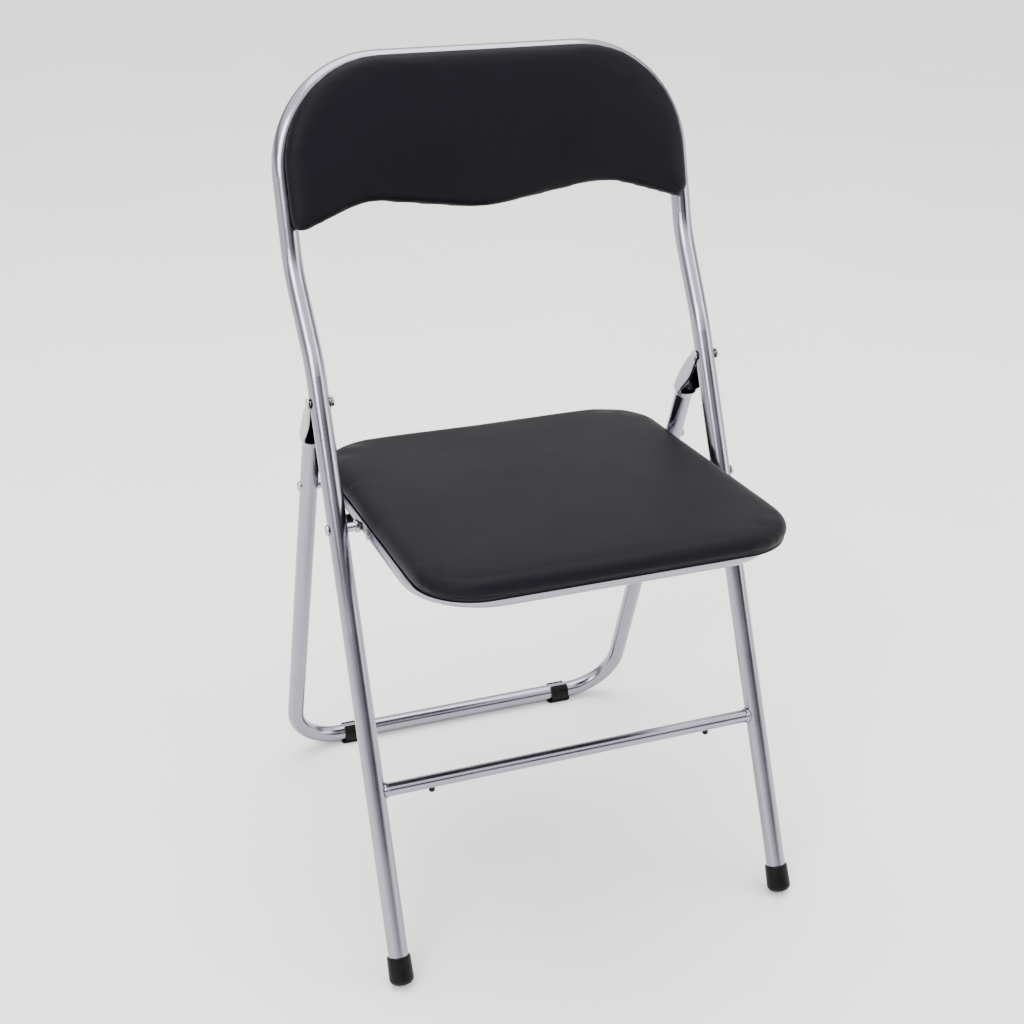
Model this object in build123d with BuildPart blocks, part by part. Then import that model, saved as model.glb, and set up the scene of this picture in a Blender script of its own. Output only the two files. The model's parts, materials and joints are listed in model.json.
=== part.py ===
from build123d import *
from math import asin, cos, degrees, radians, sin, tan
import os

# Folding chair: bent front frame with backrest, rear U-leg, hinged padded seat and link arms.
# Millimetres, +Z up, the chair's front towards -Y, symmetric about X = 0 except for the
# backrest's lower edge. The origin is on the floor, under the middle of the chair.

# ---------------------------------------------------------------- driving dimensions
# Tubes
front_r = 9.5            # front frame tube
rear_r = 9.0             # rear leg tube
rail_r = 8.0             # seat frame tube
stretcher_r = 6.5        # front stretcher and seat cross tube
wall = 1.3               # tube wall

# Front frame, side view: the lower leg leans back from the floor, then two bends
front_foot_y = -201.5
front_lean = 24.59       # degrees from vertical
kink_z = 535.5           # lower bend
shoulder_y, shoulder_z = 96.0, 609.3
back_lean = 17.31        # backrest section
arch_z = 785.7           # axis of the top bar
foot_half = 200.0        # half widths: at the floor, at the lower bend, in the backrest
kink_half = 198.2
back_half = 201.3
arch_bend = 100.5
kink_bend, shoulder_bend = 150.0, 120.0

# Rear leg, side view
rear_foot_y = 226.8      # leg line extended to the floor
rear_lean = 19.57
rear_half = 198.3
rear_bar_z = 10.55
rear_bend = 55.0

# Pivots: height above the floor
leg_pivot_z = 501.26      # rear leg on front frame
seat_pivot_z = 393.82     # seat on front frame
link_pivot_z = 392.77     # link arm on rear leg
rod_v, rod_w = 50.6, -14.0   # link rod on the seat, measured from the seat pivot

# Seat
seat_tilt = 2.55         # front edge higher
rail_half = 170.0
rail_front_v = -191.0    # front bar axis, measured from the seat pivot
rail_rear_v = 136.0
rail_bend = 66.0
pad_half = 179.5
pad_front_v, pad_rear_v = -214.0, 160.0
pad_corner = 58.0
pad_low, pad_high = 8.6, 27.0
board_low, board_high = 8.05, 13.0
cross_v = 118.0

# Backrest panel, on the front of the tube
back_board_low, back_board_high = 9.6, 13.6
back_pad_high = 28.0
back_pad_half = 201.0
back_pad_top = 175.3
back_pad_corner = 102.5
back_origin_z = 620.74

# Formed ends of the rear legs, straddling the front legs
saddle_half, saddle_gap = 11.1, 9.95      # outer and inner half widths
saddle_nose = 6.8        # radius of the flanges about the pivot
saddle_round = 5.5       # rounding of the saddle's rear edges
saddle_flare = 22.0      # degrees, how it widens out of the round tube
saddle_fit = 0.06        # radius over the tube where it starts
mouth_size = 80.0        # the saddle's open front, cut up from mouth_low_v, ahead of mouth_rear_x
mouth_rear_x, mouth_low_v = 12.0, -59.0
web_top_v = -11.0        # the web behind the front leg ends here
saddle_foot_v = -66.0    # where the saddle meets the round tube, measured up the leg

# Link arms between the seat and the rear legs
link_in, link_out = 181.3, 184.3          # |x| of their faces
link_width = 14.0
rod_r = 3.5
rod_head_r, rod_head_t = 4.7, 1.6
ear_t = 3.0

# Fasteners
rivet_r = 3.0
head_r, head_t = 5.0, 2.6
leg_head_t = 1.8         # flatter heads at the upper pivot
run_gap = 0.06           # radial clearance of a running pivot
set_gap = 0.02           # radial clearance of a fixed pin
side_gap = 0.25          # end clearance between pieces that turn on each other
spacer_r = 5.2           # spacer at the link arm
bell_r, bell_t = 6.1, 4.6   # rounded foot of the spacer at the seat rail
bell_neck_r = 4.4
rail_flat = 0.8          # depth of the flat pressed on the seat rail at its pivot
screw_r, screw_head_r, screw_head_t = 2.0, 3.8, 1.6

# Feet
cap_r, cap_len, cap_round = 11.9, 26.7, 6.0
cap_taper = 1.3          # degrees, narrower towards the rim
clip_x = 129.0
clip_half, clip_r = 10.3, 11.4
clip_base_half, clip_base_width, clip_base_t = 14.0, 18.0, 2.4

SIDES = {"left": -1, "right": 1}


# ---------------------------------------------------------------- helpers
def front_y(z):
    """Y of the lower front leg's axis at height z."""
    return front_foot_y + z * tan(radians(front_lean))


def front_half(z):
    """Half width of the front legs at height z, below the lower bend."""
    return foot_half + (kink_half - foot_half) * z / kink_z


def rear_y(z):
    """Y of the straight rear leg's axis at height z."""
    return rear_foot_y - z * tan(radians(rear_lean))


def plane_x(x):
    """Plane across the chair at x: its local x is Y and its local y is Z."""
    return Plane(origin=(x, 0, 0), x_dir=(0, 1, 0), z_dir=(1, 0, 0))


leg_pivot = (front_y(leg_pivot_z), leg_pivot_z)
seat_pivot = (front_y(seat_pivot_z), seat_pivot_z)
link_pivot = (rear_y(link_pivot_z), link_pivot_z)

# Seat plane: origin on the seat pivot's axis, local x = X, local y = rearwards, normal = up
tilt = radians(seat_tilt)
seat_plane = Plane(
    origin=(0, *seat_pivot), x_dir=(1, 0, 0), z_dir=(0, sin(tilt), cos(tilt))
)
rod_y = seat_pivot[0] + rod_v * cos(tilt) + rod_w * sin(tilt)
rod_z = seat_pivot[1] - rod_v * sin(tilt) + rod_w * cos(tilt)

# Back plane: in the tube's axes, local y = up the backrest, normal = towards the sitter
lean = radians(back_lean)
back_origin_y = shoulder_y + (back_origin_z - shoulder_z) * tan(lean)
back_plane = Plane(
    origin=(0, back_origin_y, back_origin_z), x_dir=(1, 0, 0), z_dir=(0, -cos(lean), sin(lean))
)
arch_y = shoulder_y + (arch_z - shoulder_z) * tan(lean)

# Rear leg plane: origin on the leg pivot, local x = rearwards from the leg, local y = up the leg
leg_angle = radians(rear_lean)


def saddle_plane(x):
    return Plane(
        origin=(x, *leg_pivot),
        x_dir=(0, cos(leg_angle), sin(leg_angle)),
        z_dir=(1, 0, 0),
    )


def leg_line(side):
    """Foot and direction of a lower front leg."""
    foot = Vector(side * front_half(0), front_y(0), 0)
    knee = Vector(side * front_half(kink_z), front_y(kink_z), kink_z)
    return foot, (knee - foot).normalized()


def leg_plane(side, along):
    """Plane square to a lower front leg, at a distance along it from the floor."""
    foot, direction = leg_line(side)
    return Plane(origin=foot + direction * along, x_dir=(1, 0, 0), z_dir=direction)


def seat_side_plane(x):
    """Side view of the seat at x: local x = rearwards, local y = up from the seat's plane."""
    return Plane(
        origin=(x, *seat_pivot), x_dir=(0, cos(tilt), -sin(tilt)), z_dir=(1, 0, 0)
    )


def bar(x_from, x_to, centre, radius, mode=Mode.ADD):
    """A round bar along X between two x values, about centre = (y, z)."""
    with BuildSketch(plane_x(x_from)) as section:
        with Locations(centre):
            Circle(radius)
    extrude(section.sketch, amount=x_to - x_from, dir=(1, 0, 0), mode=mode)


def round_head(x, side, thick=head_t):
    """Round the rim of the rivet head whose flat end is at x on one side."""
    rim = edges().filter_by(GeomType.CIRCLE).filter_by_position(
        Axis.X, side * x - 0.01, side * x + 0.01
    )
    fillet(rim, thick * 0.72)


def pivot_rivet(inner, outer, centre, side, thick=head_t):
    """A rivet between two |x| faces, with a domed head beyond each."""
    bar(side * inner, side * outer, centre, rivet_r)
    bar(side * (inner - thick), side * inner, centre, head_r)
    bar(side * outer, side * (outer + thick), centre, head_r)
    round_head(inner - thick, side, thick)
    round_head(outer + thick, side, thick)


def save(part, name):
    part.part.label = name
    export_step(part.part, f"parts/{name}.step")


os.makedirs("parts", exist_ok=True)

# ---------------------------------------------------------------- front frame
foot_z = 5.0
side_points = [
    (front_half(foot_z), front_y(foot_z), foot_z),
    (kink_half, front_y(kink_z), kink_z),
    (back_half, shoulder_y, shoulder_z),
    (back_half, arch_y, arch_z),
]
frame_points = [(-x, y, z) for x, y, z in side_points] + list(reversed(side_points))
frame_bends = [kink_bend, shoulder_bend, arch_bend, arch_bend, shoulder_bend, kink_bend]

with BuildPart() as front_frame_tube:
    with BuildLine() as frame_path:
        FilletPolyline(*frame_points, radius=frame_bends)
    with BuildSketch(Plane(origin=frame_path.line @ 0, z_dir=frame_path.line % 0)):
        Circle(front_r)
        Circle(front_r - wall, mode=Mode.SUBTRACT)
    sweep()
    with BuildSketch(plane_x(-back_half - 20)):
        with Locations(leg_pivot, seat_pivot):
            Circle(rivet_r + set_gap)
    extrude(amount=2 * back_half + 40, mode=Mode.SUBTRACT)
save(front_frame_tube, "front_frame_tube")

stretcher_z = 168.3
stretcher_y = front_y(stretcher_z)
stretcher_half = front_half(stretcher_z)
with BuildPart() as front_stretcher:
    with BuildSketch(plane_x(-stretcher_half)):
        with Locations((stretcher_y, stretcher_z)):
            Circle(stretcher_r)
            Circle(stretcher_r - wall, mode=Mode.SUBTRACT)
    extrude(amount=2 * stretcher_half)
    for side in SIDES.values():
        with BuildSketch(leg_plane(side, 100)):
            Circle(front_r)
        extrude(amount=150, mode=Mode.SUBTRACT)
save(front_stretcher, "front_stretcher")

# Weld beads round the stretcher's ends
bead_r = 2.2
for name, side in SIDES.items():
    bead_x = side * (stretcher_half - front_r - 0.4)
    bead_plane = Plane(origin=(bead_x, stretcher_y, stretcher_z), x_dir=(1, 0, 0), z_dir=(0, 0, 1))
    with BuildPart() as stretcher_weld:
        with BuildSketch(bead_plane):
            with Locations((0, stretcher_r)):
                Ellipse(bead_r, bead_r * 0.6)
            with Locations((0, 0)):
                Rectangle(4 * bead_r, 2 * stretcher_r, mode=Mode.SUBTRACT)
        revolve(axis=Axis((bead_x, stretcher_y, stretcher_z), (1, 0, 0)))
        with BuildSketch(leg_plane(side, 100)):
            Circle(front_r)
        extrude(amount=150, mode=Mode.SUBTRACT)
        with BuildSketch(plane_x(-stretcher_half)):
            with Locations((stretcher_y, stretcher_z)):
                Circle(stretcher_r)
        extrude(amount=2 * stretcher_half, mode=Mode.SUBTRACT)
    save(stretcher_weld, f"stretcher_weld_{name}")

# Rubber stops under the stretcher
bumper_x, bumper_r, bumper_drop = 144.0, 3.0, 5.2
for name, side in SIDES.items():
    stub = Plane.XY.offset(stretcher_z - stretcher_r - bumper_drop)
    with BuildPart() as stretcher_bumper:
        with BuildSketch(stub):
            with Locations((side * bumper_x, stretcher_y)):
                Circle(bumper_r)
        extrude(amount=bumper_drop + 2)
        fillet(stretcher_bumper.faces().sort_by(Axis.Z)[0].edges(), 1.8)
        with BuildSketch(plane_x(-stretcher_half)):
            with Locations((stretcher_y, stretcher_z)):
                Circle(stretcher_r)
        extrude(amount=2 * stretcher_half, mode=Mode.SUBTRACT)
    save(stretcher_bumper, f"stretcher_bumper_{name}")

# Foot caps: sleeves with a rounded closed end, its rim just on the floor
lean_f = radians(front_lean)
cap_start = (cap_round + (cap_r - cap_round) * sin(lean_f)) / cos(lean_f) - cap_round
tube_start = foot_z / cos(lean_f)
for name, side in SIDES.items():
    with BuildPart() as foot_cap:
        with BuildSketch(leg_plane(side, cap_start)):
            Circle(cap_r)
        extrude(amount=cap_len, taper=cap_taper)
        fillet(foot_cap.faces().sort_by(Axis.Z)[0].edges(), cap_round)
        fillet(foot_cap.faces().sort_by(Axis.Z)[-1].edges(), 0.8)
        with BuildSketch(leg_plane(side, tube_start)):
            Circle(front_r + set_gap)
        extrude(amount=cap_len, mode=Mode.SUBTRACT)
    save(foot_cap, f"foot_cap_{name}")


# ---------------------------------------------------------------- rear leg
axis_back = (rear_y(leg_pivot_z) - leg_pivot[0]) * cos(leg_angle)   # leg axis behind the pivot
tube_end_v = -62.0       # where the round tube ends inside the saddle
rear_top_z = leg_pivot_z + axis_back * sin(leg_angle) + tube_end_v * cos(leg_angle)
rear_points = [
    (-rear_half, rear_y(rear_top_z), rear_top_z),
    (-rear_half, rear_y(rear_bar_z), rear_bar_z),
    (rear_half, rear_y(rear_bar_z), rear_bar_z),
    (rear_half, rear_y(rear_top_z), rear_top_z),
]


def saddle_outline(web):
    """Side view of the formed end in the saddle plane: round nose on the pivot, web behind it."""
    with BuildLine() as outline:
        rear = Spline(
            (axis_back + rear_r - web, saddle_foot_v),
            (25.0 - web, -41.0),
            (17.6 - web, -18.0),
            (saddle_nose * 0.8, saddle_nose * 0.6),
            tangents=[(0, 1), (-0.6, 0.8)],
        )
        nose = ThreePointArc(rear @ 1, (0, saddle_nose), (-saddle_nose, 0))
        front = Spline(nose @ 1, (-4.6, -28.0), (axis_back - rear_r, saddle_foot_v),
                       tangents=[(0, -1), (0.25, -1)])
        Line(front @ 1, rear @ 0)
    return outline


def saddle_block(side, web, half):
    """The formed end as a solid: its side view, rounded behind, flaring out of the round tube."""
    with BuildPart(mode=Mode.PRIVATE) as block:
        with BuildSketch(saddle_plane(side * rear_half - half)) as section:
            add(saddle_outline(web).line)
            make_face()
        extrude(section.sketch, amount=2 * half, dir=(1, 0, 0))
        round_edges = block.edges().filter_by(GeomType.BSPLINE)
        fillet(round_edges.sort_by(Axis.Y)[-2:], saddle_round - web)
        foot = saddle_plane(side * rear_half).from_local_coords((axis_back, saddle_foot_v, 0))
        with BuildSketch(Plane(origin=foot, x_dir=(1, 0, 0),
                               z_dir=(0, -sin(leg_angle), cos(leg_angle)))) as ring:
            Circle(rear_r + saddle_fit - web)
        extrude(ring.sketch, amount=90, taper=-saddle_flare, mode=Mode.INTERSECT)
    return block.part


with BuildPart() as rear_leg_frame:
    with BuildLine() as rear_path:
        FilletPolyline(*rear_points, radius=rear_bend)
    with BuildSketch(Plane(origin=rear_path.line @ 0, z_dir=rear_path.line % 0)):
        Circle(rear_r)
        Circle(rear_r - wall, mode=Mode.SUBTRACT)
    sweep()
    for side in SIDES.values():
        add(saddle_block(side, 0, saddle_half))
    for side in SIDES.values():
        add(saddle_block(side, wall, saddle_gap), mode=Mode.SUBTRACT)
        with BuildSketch(saddle_plane(side * rear_half - saddle_gap)):
            with Locations((mouth_rear_x - mouth_size / 2, mouth_low_v + mouth_size / 2)):
                Rectangle(mouth_size, mouth_size)
            with Locations((mouth_size / 4, web_top_v + mouth_size / 4)):
                Rectangle(mouth_size / 2, mouth_size / 2)
        extrude(amount=2 * saddle_gap, mode=Mode.SUBTRACT)
    with BuildSketch(plane_x(-rear_half - 20)):
        with Locations(leg_pivot):
            Circle(rivet_r + run_gap)
        with Locations(link_pivot):
            Circle(rivet_r + set_gap)
    extrude(amount=2 * rear_half + 40, mode=Mode.SUBTRACT)
save(rear_leg_frame, "rear_leg_frame")


# Rivets of the link arms: a head outside and a spacer inside each rear leg
rear_dir = (0, -sin(leg_angle), cos(leg_angle))
with BuildPart() as rear_rivets:
    for side in SIDES.values():
        inner, outer = link_out + side_gap, rear_half + rear_r
        bar(side * (rear_half + 1), side * (outer + head_t), link_pivot, head_r)
        round_head(outer + head_t, side)
        bar(side * inner, side * rear_half, link_pivot, spacer_r)
        foot = (side * rear_half, rear_y(100), 100)
        with BuildSketch(Plane(origin=foot, x_dir=(1, 0, 0), z_dir=rear_dir)):
            Circle(rear_r + set_gap)
        extrude(amount=380, mode=Mode.SUBTRACT)
        bar(side * (inner + 1), side * (outer + 1), link_pivot, rivet_r)
save(rear_rivets, "rear_rivets")

# C-shaped feet clipped on the rear bar: a tall front lobe, a lower rear lip and a flat base
clip_y, clip_z = rear_y(rear_bar_z), rear_bar_z
lobe_angle, lip_angle = radians(66), radians(38)    # above the horizontal, in front and behind
mouth = 2 * clip_r
for name, side in SIDES.items():
    with BuildPart() as rear_clip:
        with BuildSketch(plane_x(side * clip_x - clip_half)):
            with Locations((clip_y, clip_z)):
                Circle(clip_r)
            with Locations((clip_y, clip_base_width / 4)):
                Rectangle(clip_base_width, clip_base_width / 2)
            with Locations((clip_y, -clip_r)):
                Rectangle(4 * clip_r, 2 * clip_r, mode=Mode.SUBTRACT)
            with BuildLine():
                Polyline(
                    (clip_y, clip_z),
                    (clip_y - mouth * cos(lobe_angle), clip_z + mouth * sin(lobe_angle)),
                    (clip_y + mouth * cos(lip_angle), clip_z + mouth * sin(lip_angle)),
                    close=True,
                )
            make_face(mode=Mode.SUBTRACT)
        extrude(amount=2 * clip_half)
        with BuildSketch(Plane.XY):
            with Locations((side * clip_x, clip_y)):
                RectangleRounded(2 * clip_base_half, clip_base_width, 4)
        extrude(amount=clip_base_t)
        bar(-rear_half, rear_half, (clip_y, clip_z), rear_r + set_gap, mode=Mode.SUBTRACT)
    save(rear_clip, f"rear_clip_{name}")

# ---------------------------------------------------------------- pivots on the front frame
with BuildPart() as leg_pivot_rivets:
    for side in SIDES.values():
        pivot_rivet(
            rear_half - saddle_half - side_gap, rear_half + saddle_half + side_gap,
            leg_pivot, side, leg_head_t,
        )
save(leg_pivot_rivets, "leg_pivot_rivets")

pivot_half = front_half(seat_pivot_z)
spacer_in = rail_half + rail_r - rail_flat + side_gap
with BuildPart() as seat_pivot_rivets:
    for side in SIDES.values():
        pivot_rivet(
            rail_half - rail_r - side_gap, pivot_half + front_r + set_gap, seat_pivot, side
        )
save(seat_pivot_rivets, "seat_pivot_rivets")

for name, side in SIDES.items():
    with BuildPart() as seat_spacer:
        bar(side * spacer_in, side * (spacer_in + bell_t), seat_pivot, bell_r)
        fillet(seat_spacer.edges().filter_by(GeomType.CIRCLE).sort_by(Axis.X)[-side], bell_t * 0.6)
        bar(side * (spacer_in + bell_t), side * (pivot_half - 4), seat_pivot, bell_neck_r)
        with BuildSketch(leg_plane(side, 300)):
            Circle(front_r)
        extrude(amount=250, mode=Mode.SUBTRACT)
        bar(side * (spacer_in - 1), side * pivot_half, seat_pivot, rivet_r + set_gap,
            mode=Mode.SUBTRACT)
    save(seat_spacer, f"seat_spacer_{name}")

# ---------------------------------------------------------------- seat
screw_spots = [(x, v) for v in (-100.0, 90.0) for x in (-rail_half, rail_half)]
side_screw_v = -28.0

with BuildPart() as seat_frame_tube:
    with BuildLine(seat_plane) as rail_path:
        FilletPolyline(
            (-rail_half, rail_rear_v), (-rail_half, rail_front_v),
            (rail_half, rail_front_v), (rail_half, rail_rear_v), radius=rail_bend,
        )
    with BuildSketch(Plane(origin=rail_path.line @ 0, z_dir=rail_path.line % 0)):
        Circle(rail_r)
        Circle(rail_r - wall, mode=Mode.SUBTRACT)
    sweep()
    for side in SIDES.values():
        with BuildSketch(seat_side_plane(side * (rail_half + rail_r - rail_flat))):
            Rectangle(26, 2 * rail_r)
        extrude(amount=side * 2, mode=Mode.SUBTRACT)
    bar(-rail_half - 20, rail_half + 20, seat_pivot, rivet_r + run_gap, mode=Mode.SUBTRACT)
    with BuildSketch(seat_plane.offset(-rail_r - 1)):
        with Locations(*screw_spots):
            Circle(screw_r + set_gap)
    extrude(amount=2 * rail_r + 2, mode=Mode.SUBTRACT)
    with BuildSketch(seat_side_plane(-rail_half - 20)):
        with Locations((side_screw_v, 0)):
            Circle(screw_r + set_gap)
    extrude(amount=2 * rail_half + 40, mode=Mode.SUBTRACT)
save(seat_frame_tube, "seat_frame_tube")

with BuildPart() as seat_cross_tube:
    with BuildSketch(seat_side_plane(-rail_half)):
        with Locations((cross_v, 0)):
            Circle(stretcher_r)
            Circle(stretcher_r - wall, mode=Mode.SUBTRACT)
    extrude(amount=2 * rail_half)
    for side in SIDES.values():
        rail_end = seat_plane.shift_origin(seat_plane.from_local_coords((side * rail_half, 0, 0)))
        with BuildSketch(Plane(origin=rail_end.origin, x_dir=(1, 0, 0),
                               z_dir=(0, cos(tilt), -sin(tilt)))):
            Circle(rail_r)
        extrude(amount=rail_rear_v, mode=Mode.SUBTRACT)
save(seat_cross_tube, "seat_cross_tube")

for name, side in SIDES.items():
    end = seat_plane.from_local_coords((side * rail_half, rail_rear_v, 0))
    with BuildPart() as rail_plug:
        with BuildSketch(Plane(origin=end, x_dir=(1, 0, 0), z_dir=(0, cos(tilt), -sin(tilt)))):
            Circle(rail_r - wall - set_gap)
        extrude(amount=-14)
        with BuildSketch(Plane(origin=end, x_dir=(1, 0, 0), z_dir=(0, cos(tilt), -sin(tilt)))):
            Circle(rail_r)
        extrude(amount=3)
        fillet(rail_plug.faces().sort_by(Axis.Y)[-1].edges(), 1.5)
    save(rail_plug, f"rail_plug_{name}")

# Ears under the rails that carry the link rod
ear_r = 7.5
for name, side in SIDES.items():
    with BuildPart() as rod_ear:
        with BuildSketch(seat_side_plane(side * rail_half - ear_t / 2)):
            with Locations((rod_v, rod_w)):
                Circle(ear_r)
            with BuildLine():
                Polyline(
                    (rod_v - 17, -4), (rod_v + 17, -4), (rod_v + ear_r - 0.3, rod_w - 2),
                    (rod_v - ear_r + 0.3, rod_w - 2), close=True,
                )
            make_face()
            with Locations((rod_v, rod_w)):
                Circle(rod_r + run_gap, mode=Mode.SUBTRACT)
        extrude(amount=ear_t)
        rail_start = seat_plane.from_local_coords((side * rail_half, 0, 0))
        with BuildSketch(Plane(origin=rail_start, x_dir=(1, 0, 0),
                               z_dir=(0, cos(tilt), -sin(tilt)))):
            Circle(rail_r)
        extrude(amount=rail_rear_v, mode=Mode.SUBTRACT)
    save(rod_ear, f"rod_ear_{name}")

pad_mid_v = (pad_front_v + pad_rear_v) / 2
pad_len = pad_rear_v - pad_front_v
board_inset = 5.0
with BuildPart() as seat_board:
    with BuildSketch(seat_plane.offset(board_low)):
        with Locations((0, pad_mid_v)):
            RectangleRounded(
                2 * (pad_half - board_inset), pad_len - 2 * board_inset, pad_corner - board_inset
            )
        with Locations(*screw_spots):
            Circle(screw_r + set_gap, mode=Mode.SUBTRACT)
    extrude(amount=board_high - board_low)
save(seat_board, "seat_board")

with BuildPart() as seat_pad:
    with BuildSketch(seat_plane.offset(pad_low)):
        with Locations((0, pad_mid_v)):
            RectangleRounded(2 * pad_half, pad_len, pad_corner)
    extrude(amount=pad_high - pad_low)
    fillet(seat_pad.faces().sort_by(Axis.Z)[-1].edges(), 9)
    fillet(seat_pad.faces().sort_by(Axis.Z)[0].edges(), 4)
    with BuildSketch(seat_plane.offset(board_low)):
        with Locations((0, pad_mid_v)):
            RectangleRounded(
                2 * (pad_half - board_inset + 0.1), pad_len - 2 * board_inset + 0.2,
                pad_corner - board_inset,
            )
    extrude(amount=board_high - board_low + 0.1, mode=Mode.SUBTRACT)
save(seat_pad, "seat_pad")

with BuildPart() as seat_screws:
    with BuildSketch(seat_plane.offset(-rail_r - screw_head_t)):
        with Locations(*screw_spots):
            Circle(screw_head_r)
    extrude(amount=screw_head_t)
    with BuildSketch(seat_plane.offset(-rail_r - 0.5)):
        with Locations(*screw_spots):
            Circle(screw_r)
    extrude(amount=rail_r + board_high)
save(seat_screws, "seat_screws")

with BuildPart() as rail_side_screws:
    for side in SIDES.values():
        with BuildSketch(seat_side_plane(side * (rail_half + rail_r))):
            with Locations((side_screw_v, 0)):
                Circle(3.0)
        extrude(amount=side * 1.1)
        with BuildSketch(seat_side_plane(side * (rail_half - rail_r + 2))):
            with Locations((side_screw_v, 0)):
                Circle(screw_r)
        extrude(amount=side * (2 * rail_r - 1.5))
save(rail_side_screws, "rail_side_screws")

# ---------------------------------------------------------------- link arms
rod_centre = (rod_y, rod_z)
link_len = ((link_pivot[0] - rod_y) ** 2 + (link_pivot[1] - rod_z) ** 2) ** 0.5
link_angle = degrees(asin((link_pivot[1] - rod_z) / link_len))
link_mid = ((link_pivot[0] + rod_y) / 2, (link_pivot[1] + rod_z) / 2)
for name, side in SIDES.items():
    with BuildPart() as link_arm:
        with BuildSketch(plane_x(side * (link_in + link_out) / 2)):
            with Locations(link_mid):
                SlotCenterToCenter(link_len, link_width, rotation=link_angle)
            with Locations(rod_centre):
                Circle(rod_r + set_gap, mode=Mode.SUBTRACT)
            with Locations(link_pivot):
                Circle(rivet_r + set_gap, mode=Mode.SUBTRACT)
        extrude(amount=(link_out - link_in) / 2, both=True)
    save(link_arm, f"link_arm_{name}")

with BuildPart() as link_rod:
    bar(-link_out, link_out, rod_centre, rod_r)
    for side in SIDES.values():
        bar(side * link_out, side * (link_out + rod_head_t), rod_centre, rod_head_r)
save(link_rod, "link_rod")

with BuildPart() as rod_sleeves:
    for side in SIDES.values():
        sleeve_in, sleeve_out = rail_half + ear_t / 2 + side_gap, link_in - 0.02
        bar(side * sleeve_in, side * sleeve_out, rod_centre, 5.4)
        bar(side * sleeve_in, side * sleeve_out, rod_centre, rod_r + set_gap, mode=Mode.SUBTRACT)
save(rod_sleeves, "rod_sleeves")

with BuildPart() as link_studs:
    for side in SIDES.values():
        bar(side * (link_in - 1.1), side * link_out, link_pivot, rivet_r)
        bar(side * (link_in - 1.1), side * (link_in - 0.02), link_pivot, 4.6)
save(link_studs, "link_studs")

# ---------------------------------------------------------------- backrest
# Outline seen from the front, corner by corner with each corner's radius: lower left, two
# lobes with a dip between them, lower right, arched top
back_corners = [
    ((-back_pad_half, 16.7), 11), ((-128.4, 44.9), 75), ((-13.2, 28.8), 120),
    ((115.5, 47.4), 105), ((back_pad_half, 19.8), 11),
    ((back_pad_half, back_pad_top), back_pad_corner),
    ((-back_pad_half, back_pad_top), back_pad_corner),
]


def back_outline():
    """Closed outline of the backrest panel."""
    with BuildLine() as outline:
        FilletPolyline(
            *[corner for corner, _ in back_corners],
            radius=[bend for _, bend in back_corners], close=True,
        )
    return outline.line


# Tabs welded inside the tube carry the board on four screws: two on the uprights, two
# hanging from the top bar
back_board_inset = 6.0
tab_reach, tab_width, tab_t = 24.0, 18.0, 2.4
tab_low = back_board_low - tab_t - set_gap
tab_side_v, tab_top_x = 46.0, 60.0
arch_v = (arch_z - back_origin_z) / cos(lean)
tab_screw_in = front_r + 11.0             # screw line from the tube's axis
tab_screws = [
    spot for side in SIDES.values() for spot in (
        (side * (back_half - tab_screw_in), tab_side_v), (side * tab_top_x, arch_v - tab_screw_in)
    )
]

with BuildPart() as backrest_board:
    with BuildSketch(back_plane.offset(back_board_low)):
        add(back_outline())
        make_face()
        offset(amount=-back_board_inset, kind=Kind.INTERSECTION)
        with Locations(*tab_screws):
            Circle(screw_r + set_gap, mode=Mode.SUBTRACT)
    extrude(amount=back_board_high - back_board_low)
save(backrest_board, "backrest_board")

with BuildPart() as backrest_pad:
    with BuildSketch(back_plane.offset(back_board_low)):
        add(back_outline())
        make_face()
    extrude(amount=back_pad_high - back_board_low)
    front_face = backrest_pad.faces().filter_by(lambda f: abs(f.normal_at().Y) > 0.9)
    fillet(front_face.sort_by(Axis.Y)[0].edges(), 5)
    with BuildSketch(back_plane.offset(back_board_low)):
        add(back_outline())
        make_face()
        offset(amount=0.1 - back_board_inset, kind=Kind.INTERSECTION)
    extrude(amount=back_board_high - back_board_low + 0.1, mode=Mode.SUBTRACT)
save(backrest_pad, "backrest_pad")

for name, side in SIDES.items():
    upright = back_plane.from_local_coords((side * back_half, 0, 0))
    tabs = {
        "side": (side * (back_half - tab_reach / 2), tab_side_v, tab_reach, tab_width,
                 Plane(origin=upright, x_dir=(1, 0, 0), z_dir=back_plane.y_dir)),
        "top": (side * tab_top_x, arch_v - tab_reach / 2, tab_width, tab_reach,
                Plane(origin=back_plane.from_local_coords((0, arch_v, 0)),
                      x_dir=back_plane.y_dir, z_dir=(side, 0, 0))),
    }
    for place, (tab_x, tab_v, size_x, size_v, tube_section) in tabs.items():
        with BuildPart() as back_tab:
            with BuildSketch(back_plane.offset(tab_low)):
                with Locations((tab_x, tab_v)):
                    Rectangle(size_x, size_v)
                with Locations(*tab_screws):
                    Circle(screw_r + set_gap, mode=Mode.SUBTRACT)
            extrude(amount=tab_t)
            with BuildSketch(tube_section):
                Circle(front_r)
            extrude(amount=back_pad_top, mode=Mode.SUBTRACT)
        save(back_tab, f"back_tab_{place}_{name}")

with BuildPart() as back_screws:
    with BuildSketch(back_plane.offset(tab_low - screw_head_t)):
        with Locations(*tab_screws):
            Circle(screw_head_r)
    extrude(amount=screw_head_t)
    with BuildSketch(back_plane.offset(tab_low - 0.5)):
        with Locations(*tab_screws):
            Circle(screw_r)
    extrude(amount=back_board_high - tab_low + 0.5)
save(back_screws, "back_screws")
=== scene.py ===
"""Folding chair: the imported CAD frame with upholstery, materials, studio floor, lights and camera.

Metres, in the CAD's row frame: +Z up, the chair's front towards -Y.
"""

import json
import math
import random

import bmesh
import bpy
from mathutils import Matrix, Vector


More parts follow.
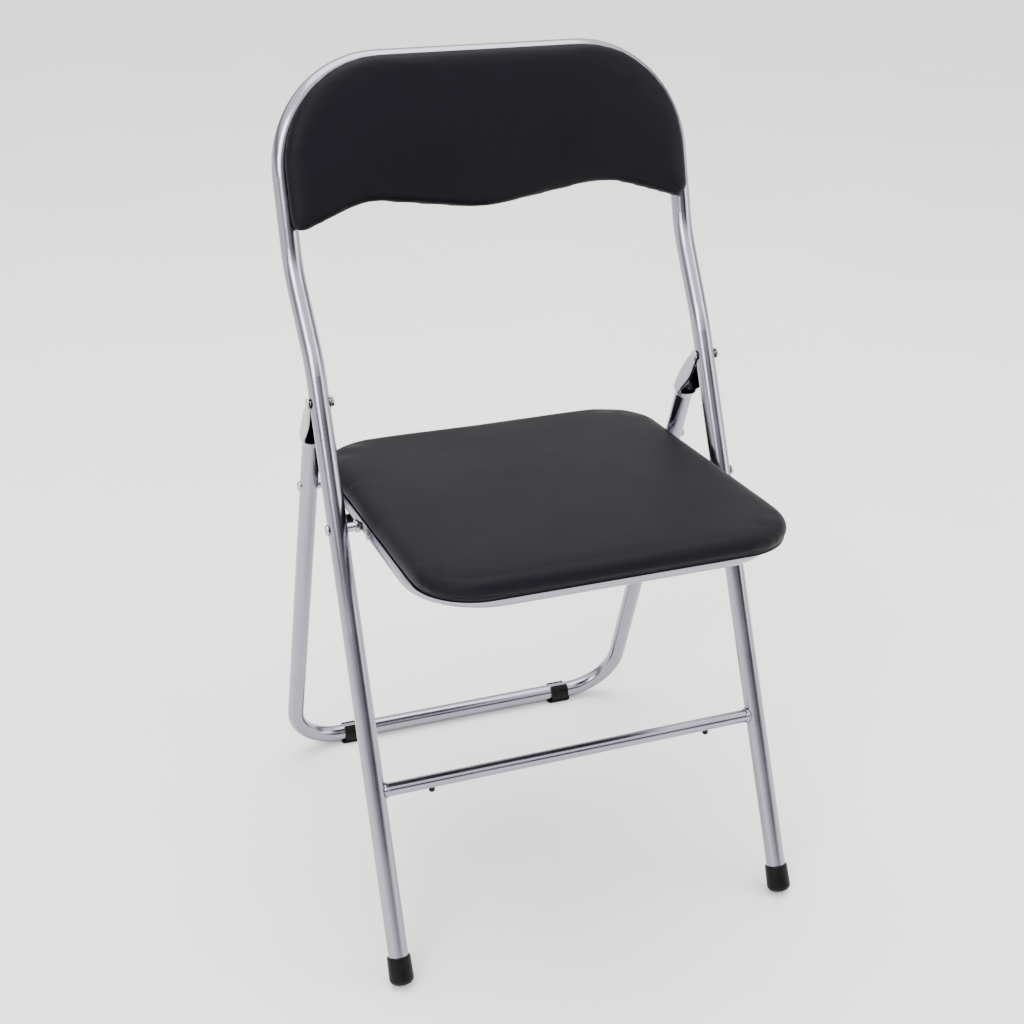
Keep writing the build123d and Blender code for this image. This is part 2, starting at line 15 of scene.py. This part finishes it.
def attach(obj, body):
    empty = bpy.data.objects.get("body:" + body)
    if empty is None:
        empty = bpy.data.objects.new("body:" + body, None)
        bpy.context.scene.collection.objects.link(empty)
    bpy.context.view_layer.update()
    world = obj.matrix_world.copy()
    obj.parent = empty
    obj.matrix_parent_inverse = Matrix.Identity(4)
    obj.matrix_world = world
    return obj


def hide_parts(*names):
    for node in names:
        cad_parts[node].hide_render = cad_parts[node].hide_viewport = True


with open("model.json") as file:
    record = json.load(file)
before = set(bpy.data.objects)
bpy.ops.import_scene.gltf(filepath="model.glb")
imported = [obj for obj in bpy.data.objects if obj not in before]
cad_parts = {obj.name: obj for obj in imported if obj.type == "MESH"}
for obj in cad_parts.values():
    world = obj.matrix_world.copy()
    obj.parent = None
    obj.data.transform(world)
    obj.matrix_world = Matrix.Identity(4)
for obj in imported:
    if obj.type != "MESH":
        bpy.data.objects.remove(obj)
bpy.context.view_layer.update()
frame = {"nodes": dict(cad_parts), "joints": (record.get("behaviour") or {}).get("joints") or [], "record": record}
nodes = frame["nodes"]
joints = {joint["name"]: joint for joint in frame["joints"]}
MM = 0.001


# ---------------------------------------------------------------- placement
def axes(origin, x_axis, v_axis):
    """Local (x, v, w) axes in millimetres as a matrix to the row frame, w = x cross v."""
    x_axis, v_axis = Vector(x_axis).normalized(), Vector(v_axis).normalized()
    w_axis = x_axis.cross(v_axis)
    turn = Matrix((x_axis, v_axis, w_axis)).transposed().to_4x4()
    return Matrix.Translation(Vector(origin)) @ turn @ Matrix.Scale(MM, 4)


SEAT_TILT = math.radians(2.55)
BACK_LEAN = math.radians(17.31)
seat_origin = Vector(joints["seat_fold"]["pos_m"])
seat_axes = axes(seat_origin, (1, 0, 0), (0, math.cos(SEAT_TILT), -math.sin(SEAT_TILT)))
back_origin = Vector((0, 0.099565, 0.62074))
back_axes = axes(back_origin, (1, 0, 0), (0, math.sin(BACK_LEAN), math.cos(BACK_LEAN)))


def rounded(corners, step=4.0):
    """Closed counter-clockwise outline through corners ((x, v), radius): [(point, inward)]."""
    runs = []
    count = len(corners)
    for i, (corner, radius) in enumerate(corners):
        here = Vector(corner)
        before, after = Vector(corners[i - 1][0]), Vector(corners[(i + 1) % count][0])
        d_in, d_out = (here - before).normalized(), (after - here).normalized()
        a_in = math.atan2(d_in.y, d_in.x)
        turn = math.atan2(d_in.cross(d_out), d_in.dot(d_out))
        reach = radius * math.tan(abs(turn) / 2)
        start = here - d_in * reach
        side = 1 if turn > 0 else -1
        centre = start + Vector((-d_in.y, d_in.x)) * radius * side
        pieces = max(3, round(abs(turn) * radius / step))
        arc = []
        for k in range(pieces + 1):
            a = a_in + turn * k / pieces
            inward = Vector((-math.sin(a), math.cos(a)))
            arc.append((centre - inward * radius * side, inward))
        runs.append(arc)
    outline = []
    for i, arc in enumerate(runs):
        outline += arc
        end, inward = arc[-1]
        start = runs[(i + 1) % count][0][0]
        pieces = max(1, round((start - end).length / (3 * step)))
        outline += [(end.lerp(start, k / pieces), inward) for k in range(1, pieces)]
    return outline


def mesh_object(name, bm, smooth=True):
    mesh = bpy.data.meshes.new(name)
    bmesh.ops.recalc_face_normals(bm, faces=bm.faces)
    bm.to_mesh(mesh)
    bm.free()
    if smooth:
        mesh.shade_smooth()
    obj = bpy.data.objects.new(name, mesh)
    bpy.context.scene.collection.objects.link(obj)
    return obj


def ring_verts(bm, outline, inset, w, place, wander=None):
    ring = []
    for k, (point, inward) in enumerate(outline):
        extra = wander(k) if wander else 0.0
        spot = point + inward * (inset + extra)
        ring.append(bm.verts.new(place @ Vector((spot.x, spot.y, w))))
    return ring


def bridge(bm, a, b):
    for k in range(len(a)):
        bm.faces.new((a[k - 1], a[k], b[k], b[k - 1]))


def baked(obj, name):
    """A new object holding obj's mesh with its modifiers applied; obj is removed."""
    graph = bpy.context.evaluated_depsgraph_get()
    mesh = bpy.data.meshes.new_from_object(obj.evaluated_get(graph))
    bpy.data.objects.remove(obj)
    mesh.shade_smooth()
    made = bpy.data.objects.new(name, mesh)
    bpy.context.scene.collection.objects.link(made)
    return made


FACE_RISE = 0.9          # share of the height above which a vertex belongs to the face
EDGE_REACH = 90.0        # mm, how far from the rim the crown still looks for the edge
CROWN_FALL = 28.0        # mm, over which the crown fades in from the rim
HELD_HEIGHT = 3.5        # mm above the base that the board holds still
CLOTH_STEPS = 20


def lofted(name, outline, profile, place, voxel):
    """The cushion's rim and flat faces as one even voxel mesh."""
    bm = bmesh.new()
    rings = [ring_verts(bm, outline, inset, w, place) for inset, w in profile]
    for a, b in zip(rings, rings[1:]):
        bridge(bm, a, b)
    bm.faces.new(rings[0])
    bm.faces.new(list(reversed(rings[-1])))
    rough = mesh_object(name + "_rough", bm)
    remesh = rough.modifiers.new("remesh", "REMESH")
    remesh.mode = "VOXEL"
    remesh.voxel_size = voxel * MM
    return baked(rough, name)


def edge_depth(flat, outline):
    """How far a point of the face lies inside the outline, up to EDGE_REACH."""
    depths = [(flat - p).dot(n) for p, n in outline if (flat - p).length < EDGE_REACH]
    return min(depths, default=EDGE_REACH)


def puffed(pad):
    """Where the pad's vertices lie after the cloth has been blown up from inside."""
    cloth = pad.modifiers.new("cloth", "CLOTH")
    cloth.settings.quality = 5
    cloth.settings.mass = 0.3
    cloth.settings.use_pressure = True
    cloth.settings.uniform_pressure_force = 1.5
    cloth.settings.effector_weights.gravity = 0.0
    cloth.settings.vertex_group_mass = "held"
    cloth.point_cache.frame_start, cloth.point_cache.frame_end = 1, CLOTH_STEPS
    for step in range(1, CLOTH_STEPS + 1):
        bpy.context.scene.frame_set(step)
    blown = pad.evaluated_get(bpy.context.evaluated_depsgraph_get())
    moved = [vert.co.copy() for vert in blown.to_mesh().vertices]
    blown.to_mesh_clear()
    pad.modifiers.remove(cloth)
    bpy.context.scene.frame_set(1)
    return moved


def cushion(name, outline, profile, place, crown, cap, voxel=4.5):
    """A padded panel: a lofted rim, a crowned face, then cloth under pressure, held at its base.

    profile is [(inset, w)] in millimetres from the base's edge to the face's edge, crown the
    rise of the face's middle and cap the most that the cloth may move a vertex.
    """
    pad = lofted(name, outline, profile, place, voxel)
    to_local = place.inverted()
    base_w = profile[0][1]
    face_inset, face_w = profile[-1]
    held = pad.vertex_groups.new(name="held")
    rest = []
    for vert in pad.data.vertices:
        local = to_local @ vert.co
        rise = max(0.0, (local.z - base_w) / (face_w - base_w))
        if rise > FACE_RISE:
            depth = edge_depth(Vector((local.x, local.y)), outline)
            local.z += crown * (1 - math.exp(-max(0.0, depth - face_inset) / CROWN_FALL))
            vert.co = place @ local
        rest.append(vert.co.copy())
        if local.z < base_w + HELD_HEIGHT:
            held.add([vert.index], 1.0, "REPLACE")
    for vert, was, now in zip(pad.data.vertices, rest, puffed(pad)):
        push = now - was
        if push.length > cap * MM:
            push *= cap * MM / push.length
        vert.co = was + push
    smooth = pad.modifiers.new("smooth", "SMOOTH")
    smooth.factor, smooth.iterations = 0.5, 6
    pad = baked(pad, name)
    fine = pad.modifiers.new("fine", "SUBSURF")
    fine.levels = fine.render_levels = 1
    return pad


# ---------------------------------------------------------------- materials
def material(name):
    mat = bpy.data.materials.new(name)
    mat.use_nodes = True
    tree = mat.node_tree
    shader = tree.nodes["Principled BSDF"]
    coords = tree.nodes.new("ShaderNodeTexCoord").outputs["Object"]
    return mat, tree, shader, coords


def texture(tree, kind, coords, **sockets):
    node = tree.nodes.new(kind)
    for key, value in sockets.items():
        node.inputs[key.replace("_", " ")].default_value = value
    tree.links.new(coords, node.inputs["Vector"])
    return node


def ramp(tree, value, stops):
    """Colour ramp from a value: [(position, (r, g, b) or grey)]."""
    node = tree.nodes.new("ShaderNodeValToRGB")
    elements = node.color_ramp.elements
    while len(elements) < len(stops):
        elements.new(0.5)
    for element, (position, colour) in zip(elements, stops):
        element.position = position
        rgb = colour if isinstance(colour, tuple) else (colour,) * 3
        element.color = (*rgb, 1)
    tree.links.new(value, node.inputs["Fac"])
    return node.outputs["Color"]


def blended(tree, mode, factor, a, b):
    node = tree.nodes.new("ShaderNodeMix")
    node.data_type = "RGBA"
    node.blend_type = mode
    node.inputs["Factor"].default_value = factor
    for socket, value in ((node.inputs["A"], a), (node.inputs["B"], b)):
        if isinstance(value, tuple):
            socket.default_value = (*value, 1)
        else:
            tree.links.new(value, socket)
    return node.outputs["Result"]


def bumps(tree, shader, layers):
    """Stacked bump layers [(height output, strength, distance in metres)]."""
    previous = None
    for height, strength, distance in layers:
        node = tree.nodes.new("ShaderNodeBump")
        node.inputs["Strength"].default_value = strength
        node.inputs["Distance"].default_value = distance
        tree.links.new(height, node.inputs["Height"])
        if previous:
            tree.links.new(previous, node.inputs["Normal"])
        previous = node.outputs["Normal"]
    tree.links.new(previous, shader.inputs["Normal"])


def silver_paint(name, base, rough_low, rough_high):
    mat, tree, shader, coords = material(name)
    flake = texture(tree, "ShaderNodeTexNoise", coords, Scale=2600.0, Detail=2.0)
    cloud = texture(tree, "ShaderNodeTexNoise", coords, Scale=14.0, Detail=3.0)
    peel = texture(tree, "ShaderNodeTexNoise", coords, Scale=420.0, Detail=1.0)
    dark = tuple(c * 0.86 for c in base)
    colour = ramp(tree, flake.outputs["Fac"], [(0.35, dark), (0.65, base)])
    wear = ramp(tree, cloud.outputs["Fac"], [(0.3, 0.93), (0.7, 1.0)])
    tree.links.new(blended(tree, "MULTIPLY", 1.0, colour, wear), shader.inputs["Base Color"])
    rough = ramp(tree, cloud.outputs["Fac"], [(0.35, rough_low), (0.7, rough_high)])
    tree.links.new(rough, shader.inputs["Roughness"])
    shader.inputs["Metallic"].default_value = 1.0
    bumps(tree, shader, [(peel.outputs["Fac"], 0.06, 0.0002),
                         (flake.outputs["Fac"], 0.04, 0.00004)])
    return mat


def vinyl(name, base, rough_low, rough_high):
    mat, tree, shader, coords = material(name)
    grain = texture(tree, "ShaderNodeTexVoronoi", coords, Scale=760.0)
    grain.feature = "DISTANCE_TO_EDGE"
    pores = texture(tree, "ShaderNodeTexNoise", coords, Scale=1900.0, Detail=2.0)
    cloud = texture(tree, "ShaderNodeTexNoise", coords, Scale=9.0, Detail=3.0)
    soft = texture(tree, "ShaderNodeTexNoise", coords, Scale=38.0, Detail=1.0)
    light = tuple(c * 1.18 for c in base)
    colour = ramp(tree, cloud.outputs["Fac"], [(0.3, base), (0.7, light)])
    # Painted shade: the grain's creases are darkened in the base colour
    grain_crease_shade = ramp(tree, grain.outputs["Distance"], [(0.0, 0.72), (0.12, 1.0)])
    tree.links.new(blended(tree, "MULTIPLY", 1.0, colour, grain_crease_shade), shader.inputs["Base Color"])
    rough = ramp(tree, cloud.outputs["Fac"], [(0.3, rough_low), (0.7, rough_high)])
    tree.links.new(rough, shader.inputs["Roughness"])
    shader.inputs["Specular IOR Level"].default_value = 0.085
    groove = ramp(tree, grain.outputs["Distance"], [(0.0, 0.0), (0.16, 1.0)])
    bumps(tree, shader, [(soft.outputs["Fac"], 0.10, 0.0009),
                         (groove, 0.30, 0.00012),
                         (pores.outputs["Fac"], 0.18, 0.00005)])
    return mat


def moulded(name, base, roughness, grit, depth):
    mat, tree, shader, coords = material(name)
    fine = texture(tree, "ShaderNodeTexNoise", coords, Scale=grit, Detail=2.0)
    scuff = texture(tree, "ShaderNodeTexNoise", coords, Scale=90.0, Detail=4.0)
    light = tuple(c * 2.2 + 0.001 for c in base)
    colour = ramp(tree, scuff.outputs["Fac"], [(0.45, base), (0.8, light)])
    tree.links.new(colour, shader.inputs["Base Color"])
    rough = ramp(tree, scuff.outputs["Fac"], [(0.3, roughness), (0.75, roughness + 0.18)])
    tree.links.new(rough, shader.inputs["Roughness"])
    shader.inputs["Specular IOR Level"].default_value = 0.12
    bumps(tree, shader, [(scuff.outputs["Fac"], 0.10, 0.0003),
                         (fine.outputs["Fac"], 0.30, depth)])
    return mat


def plated(name, base, roughness):
    mat, tree, shader, coords = material(name)
    turned = texture(tree, "ShaderNodeTexNoise", coords, Scale=700.0, Detail=3.0)
    cloud = texture(tree, "ShaderNodeTexNoise", coords, Scale=180.0, Detail=2.0)
    dark = tuple(c * 0.7 for c in base)
    colour = ramp(tree, cloud.outputs["Fac"], [(0.3, dark), (0.65, base)])
    tree.links.new(colour, shader.inputs["Base Color"])
    rough = ramp(tree, turned.outputs["Fac"], [(0.3, roughness), (0.7, roughness + 0.12)])
    tree.links.new(rough, shader.inputs["Roughness"])
    shader.inputs["Metallic"].default_value = 1.0
    bumps(tree, shader, [(turned.outputs["Fac"], 0.08, 0.00006)])
    return mat


def black_cloth(name, base):
    """Non-woven dust cover: matted fibres with a dotted emboss."""
    mat, tree, shader, coords = material(name)
    fibre = texture(tree, "ShaderNodeTexNoise", coords, Scale=620.0, Detail=5.0, Distortion=1.6)
    dots = texture(tree, "ShaderNodeTexVoronoi", coords, Scale=420.0, Randomness=0.15)
    cloud = texture(tree, "ShaderNodeTexNoise", coords, Scale=22.0, Detail=3.0)
    light = tuple(c * 1.9 for c in base)
    colour = ramp(tree, fibre.outputs["Fac"], [(0.35, base), (0.7, light)])
    shade = ramp(tree, cloud.outputs["Fac"], [(0.3, 0.8), (0.7, 1.0)])
    tree.links.new(blended(tree, "MULTIPLY", 1.0, colour, shade), shader.inputs["Base Color"])
    shader.inputs["Roughness"].default_value = 0.92
    dot = ramp(tree, dots.outputs["Distance"], [(0.1, 0.0), (0.35, 1.0)])
    bumps(tree, shader, [(dot, 0.25, 0.0002), (fibre.outputs["Fac"], 0.5, 0.0001)])
    return mat


tube_paint = silver_paint("tube_paint", (0.310, 0.302, 0.362), 0.18, 0.25)
link_paint = silver_paint("link_paint", (0.30, 0.295, 0.335), 0.26, 0.34)
rivet_plate = plated("rivet_plate", (0.42, 0.42, 0.44), 0.14)
screw_plate = plated("screw_plate", (0.55, 0.55, 0.57), 0.28)
# Lit and shaded copies of one black vinyl: the seat's copy is lighter, painted light, and the backrest's copy is
# darker, painted shade
seat_vinyl = vinyl("seat_vinyl_lit", (0.0036, 0.0032, 0.0056), 0.46, 0.54)
back_vinyl = vinyl("back_vinyl_shaded", (0.0031, 0.0027, 0.0050), 0.44, 0.52)
cap_plastic = moulded("cap_plastic", (0.0012, 0.0012, 0.0014), 0.36, 1500.0, 0.00005)
stop_rubber = moulded("stop_rubber", (0.007, 0.007, 0.007), 0.55, 900.0, 0.00008)
dust_cloth = black_cloth("dust_cloth", (0.010, 0.010, 0.011))

finishes = {
    "silver_tube": tube_paint, "link_steel": link_paint, "rivet_steel": rivet_plate,
    "screw_steel": screw_plate, "black_plastic": cap_plastic, "black_rubber": stop_rubber,
    "board": dust_cloth, "seat_vinyl": seat_vinyl, "back_vinyl": back_vinyl,
}


def paint(obj, finish):
    if not obj.material_slots:
        obj.data.materials.append(finish)
    for place in obj.material_slots:
        place.material = finish


for part in frame["record"]["subparts"]:
    paint(nodes[part["node"]], finishes[part["material_slot"]])


def finished(obj, body, slot):
    paint(obj, finishes[slot])
    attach(obj, body)
    return obj


# ---------------------------------------------------------------- seat
SEAT_LEFT, SEAT_RIGHT, SEAT_FRONT, SEAT_REAR, SEAT_CORNER = -180, 177, -214, 162, 58
seat_outline = rounded([
    ((SEAT_LEFT, SEAT_FRONT), SEAT_CORNER), ((SEAT_RIGHT, SEAT_FRONT), SEAT_CORNER),
    ((SEAT_RIGHT, SEAT_REAR), SEAT_CORNER), ((SEAT_LEFT, SEAT_REAR), SEAT_CORNER),
])
seat_cushion = cushion(
    "seat_cushion", seat_outline,
    [(7, 8.3), (3.6, 8.8), (2.2, 9.8), (0.9, 12), (0.2, 14.6), (0, 17), (0.4, 20),
     (1.5, 23.2), (3.8, 25.4), (7.5, 26.6)],
    seat_axes, crown=0.9, cap=1.0,
)
finished(seat_cushion, "seat", "seat_vinyl")
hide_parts("seat_pad")

# ---------------------------------------------------------------- backrest
# Lower left, two lobes with a dip between them, lower right, then the arched top
back_outline = rounded([
    ((-202.2, 15.5), 10), ((-129, 43.8), 75), ((-14, 27.4), 120), ((115, 46), 105),
    ((201, 18.6), 10), ((201, 176.4), 102), ((-202.2, 176.4), 102),
])
back_cushion = cushion(
    "backrest_cushion", back_outline,
    [(6.5, 9.7), (2.6, 10.0), (1.0, 11.2), (0.2, 13.6), (0, 16), (0.4, 19), (1.8, 22.4),
     (4.4, 24.9), (8.0, 26.2)],
    back_axes, crown=1.6, cap=0.9, voxel=4.0,
)
finished(back_cushion, "front_frame", "back_vinyl")
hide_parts("backrest_pad")


# ---------------------------------------------------------------- hems and staples
HEM_T = 0.7              # mm
STAPLE_HALF, STAPLE_R, STAPLE_SIDES = 5.0, 0.45, 8


def hem(name, outline, inset_from, inset_to, w, body, slot, place, seed):
    """The vinyl turned over the board's edge: a thin band with a hand-cut inner edge."""
    rng = random.Random(seed)
    phase = [rng.uniform(0, 6.28) for _ in range(3)]

    def cut(k):
        return sum(math.sin(k * f + p) * s for f, p, s in zip((0.21, 0.53, 1.13), phase,
                                                              (1.3, 0.7, 0.4)))

    bm = bmesh.new()
    outer_top = ring_verts(bm, outline, inset_from, w, place)
    inner_top = ring_verts(bm, outline, inset_to, w, place, cut)
    inner_low = ring_verts(bm, outline, inset_to, w - HEM_T, place, cut)
    outer_low = ring_verts(bm, outline, inset_from, w - HEM_T, place)
    for a, b in ((outer_top, inner_top), (inner_top, inner_low), (inner_low, outer_low),
                 (outer_low, outer_top)):
        bridge(bm, a, b)
    return finished(mesh_object(name, bm, smooth=False), body, slot)


def staples(name, outline, inset, w, spacing, body, place, seed, skip):
    """Wire staples along a hem: short round-cornered bars pressed into the vinyl."""
    rng = random.Random(seed)
    bm = bmesh.new()
    travelled, due = 0.0, spacing / 2
    for k in range(len(outline)):
        here, inward = outline[k]
        travelled += (here - outline[k - 1][0]).length
        if travelled < due:
            continue
        due = travelled + spacing * rng.uniform(0.85, 1.15)
        spot = here + inward * inset
        if skip(spot):
            continue
        along = Vector((inward.y, -inward.x))
        slant = rng.uniform(-0.25, 0.25)
        along = Vector((along.x * math.cos(slant) - along.y * math.sin(slant),
                        along.x * math.sin(slant) + along.y * math.cos(slant)))
        across = Vector((-along.y, along.x))
        half, r = STAPLE_HALF, STAPLE_R
        stations = [(-half, 1.0), (-half + 0.15, 0.35), (-half + 0.6, 0.0), (half - 0.6, 0.0),
                    (half - 0.15, 0.35), (half, 1.0)]
        rings = []
        for s, sink in stations:
            ring = []
            for q in range(STAPLE_SIDES):
                a = math.tau * q / STAPLE_SIDES
                flat = spot + along * s + across * r * 1.3 * math.cos(a)
                height = w + r * 0.8 * math.sin(a) + sink
                ring.append(bm.verts.new(place @ Vector((flat.x, flat.y, height))))
            rings.append(ring)
        for a, b in zip(rings, rings[1:]):
            bridge(bm, a, b)
        bm.faces.new(rings[0])
        bm.faces.new(list(reversed(rings[-1])))
    return finished(mesh_object(name, bm), body, "screw_steel")


hem("seat_hem", seat_outline, 3.4, 27, 8.0, "seat", "seat_vinyl", seat_axes, 3)
staples("seat_staples", seat_outline, 22, 7.1, 30, "seat", seat_axes, 5,
        lambda p: abs(p.x) > 150 and abs(p.y - 52) < 24)
hem("backrest_hem", back_outline, 2.6, 24, 9.55, "front_frame", "back_vinyl", back_axes, 7)
staples("backrest_staples", back_outline, 19, 8.6, 26, "front_frame", back_axes, 9,
        lambda p: (abs(abs(p.x) - 181) < 16 and abs(p.y - 46) < 16)
        or (abs(abs(p.x) - 60) < 14 and p.y > 130))

# ---------------------------------------------------------------- studio
floor_bm = bmesh.new()
bmesh.ops.create_grid(floor_bm, x_segments=2, y_segments=2, size=30)
floor = mesh_object("studio_floor", floor_bm, smooth=False)
floor_mat, floor_tree, floor_shader, floor_coords = material("studio_floor_paint")
mottle = texture(floor_tree, "ShaderNodeTexNoise", floor_coords, Scale=3.0, Detail=4.0)
floor_tree.links.new(
    ramp(floor_tree, mottle.outputs["Fac"], [(0.3, (0.90, 0.88, 0.85)), (0.7, (0.93, 0.91, 0.88))]),
    floor_shader.inputs["Base Color"],
)
floor_shader.inputs["Roughness"].default_value = 0.7
floor.data.materials.append(floor_mat)


def softbox(name, spot, aim, size, power, colour=(1, 1, 1)):
    data = bpy.data.lights.new(name, "AREA")
    data.shape = "RECTANGLE"
    data.size, data.size_y = size
    data.energy = power
    data.color = colour
    light = bpy.data.objects.new(name, data)
    light.location = spot
    light.rotation_euler = (Vector(aim) - Vector(spot)).to_track_quat("-Z", "Y").to_euler()
    bpy.context.scene.collection.objects.link(light)


# The large key stands up to the left of the camera, the fill to its right
softbox("key", (-2.4, -2.2, 2.6), (0, 0, 0.5), (1.8, 1.8), 120, (0.96, 0.97, 1.0))
softbox("fill", (2.6, -1.6, 1.8), (0, 0, 0.45), (1.6, 2.2), 45)
softbox("top", (0, 0.3, 3.2), (0, 0, 0.4), (2.6, 2.6), 90)

world = bpy.data.worlds.new("studio")
world.use_nodes = True
bpy.context.scene.world = world
sky = world.node_tree


def sky_math(operation, a, b=None):
    node = sky.nodes.new("ShaderNodeMath")
    node.operation = operation
    for socket, value in zip(node.inputs, (a, b)):
        if isinstance(value, (int, float)):
            socket.default_value = value
        elif value is not None:
            sky.links.new(value, socket)
    return node.outputs["Value"]


# A pale room with dark flags standing behind the camera, which the bright tubes mirror
outward = sky.nodes.new("ShaderNodeSeparateXYZ")
sky.links.new(sky.nodes.new("ShaderNodeTexCoord").outputs["Generated"], outward.inputs["Vector"])
bearing = sky_math("ARCTAN2", outward.outputs["X"], sky_math("MULTIPLY", outward.outputs["Y"], -1))
around = sky_math("ADD", sky_math("DIVIDE", bearing, math.tau), 0.5)
flags = ramp(sky, around, [(0.0, 1.0), (0.30, 0.95), (0.335, 0.30), (0.37, 0.80), (0.50, 0.62),
                           (0.535, 0.04), (0.60, 0.05), (0.635, 0.70), (0.72, 0.95)])
flag_height = ramp(sky, outward.outputs["Z"],
                   [(0.07, 1.0), (0.14, 0.0), (0.42, 0.0), (0.62, 1.0)])
band = ramp(sky, outward.outputs["Z"], [(0.13, 1.0), (0.20, 0.26), (0.46, 0.26), (0.60, 1.0)])
room = sky.nodes.new("ShaderNodeMix")
room.data_type = "RGBA"
sky.links.new(flag_height, room.inputs["Factor"])
sky.links.new(blended(sky, "MULTIPLY", 1.0, flags, band), room.inputs["A"])
room.inputs["B"].default_value = (1.0, 1.0, 1.0, 1)
backdrop = sky.nodes["Background"]
sky.links.new(room.outputs["Result"], backdrop.inputs["Color"])
backdrop.inputs["Strength"].default_value = 2.3

# ---------------------------------------------------------------- camera
CAMERA_SPOT = Vector((-0.53758, -1.3515, 1.05511))
YAW, PITCH, ROLL = math.radians(21.04), math.radians(25.222), math.radians(0.55)
camera_data = bpy.data.cameras.new("camera")
camera_data.lens = 57.485
camera_data.sensor_width = 36.0
camera = bpy.data.objects.new("camera", camera_data)
bpy.context.scene.collection.objects.link(camera)
camera.location = CAMERA_SPOT
camera.rotation_mode = "XYZ"
turn = Matrix.Rotation(-YAW, 3, "Z") @ Matrix.Rotation(math.pi / 2 - PITCH, 3, "X")
camera.rotation_euler = (turn @ Matrix.Rotation(ROLL, 3, "Z")).to_euler()
bpy.context.scene.camera = camera
